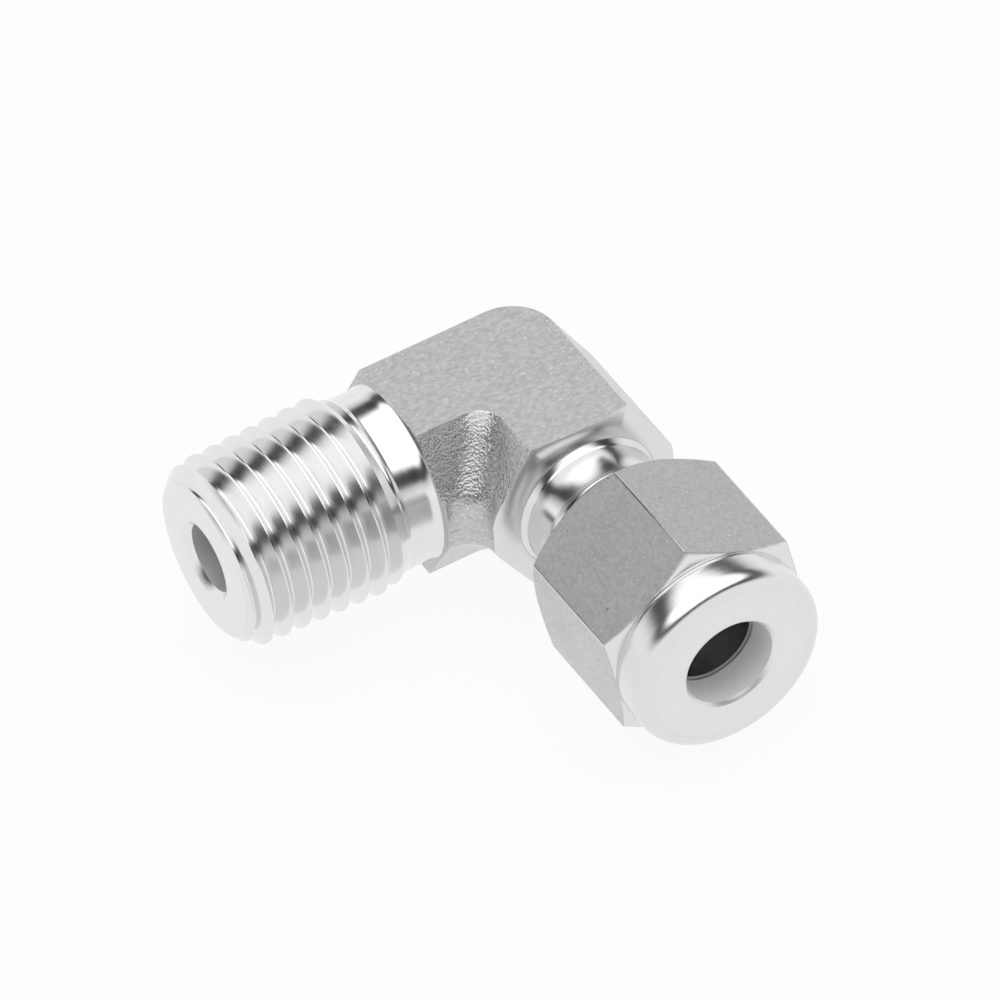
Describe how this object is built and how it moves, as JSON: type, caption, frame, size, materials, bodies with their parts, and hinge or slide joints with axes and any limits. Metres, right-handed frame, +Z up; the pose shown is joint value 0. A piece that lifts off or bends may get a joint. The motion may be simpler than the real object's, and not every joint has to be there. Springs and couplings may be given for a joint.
{
  "type": "tube adapter fitting",
  "caption": "Right-angle stainless tube fitting: forged elbow body with a tapered male pipe thread on one leg and a compression nut with ferrules for a small tube on the other.",
  "frame": {"origin": "on the axis of the pipe thread, at its hand-tight plane, 5.79 mm in from the end of the thread", "axes": "-X along the pipe thread, pointing out of the fitting; -Y along the tube leg, pointing out of the nut; +Z up, square to both legs; the leg axes cross at x = +17.61 mm"},
  "size_m": [0.0308, 0.0342, 0.016],
  "materials": {
    "forged_steel": "forged and machined stainless steel, satin",
    "nut_steel": "drawn hexagon bar and turned stainless steel, satin",
    "ferrule_steel": "fine turned stainless steel"
  },
  "bodies": {
    "elbow": {"elbow_body": "forged_steel"},
    "ferrules": {"front_ferrule": "ferrule_steel", "back_ferrule": "ferrule_steel"},
    "nut": {"nut": "nut_steel"}
  },
  "joints": [
    {"name": "nut_travel", "type": "slide", "parent": "elbow", "child": "ferrules", "axis": [0, -1, 0], "range_m": [0, 0.0042]},
    {"name": "nut_turn", "type": "hinge", "parent": "ferrules", "child": "nut", "pos_m": [0.01761, -0.02095, 0], "axis": [0, -1, 0], "range_deg": [0, 1170]}
  ],
  "couplings": [
    {"joint": "nut_travel", "follows": "nut_turn", "m_per_rad": 0.00020213}
  ]
}
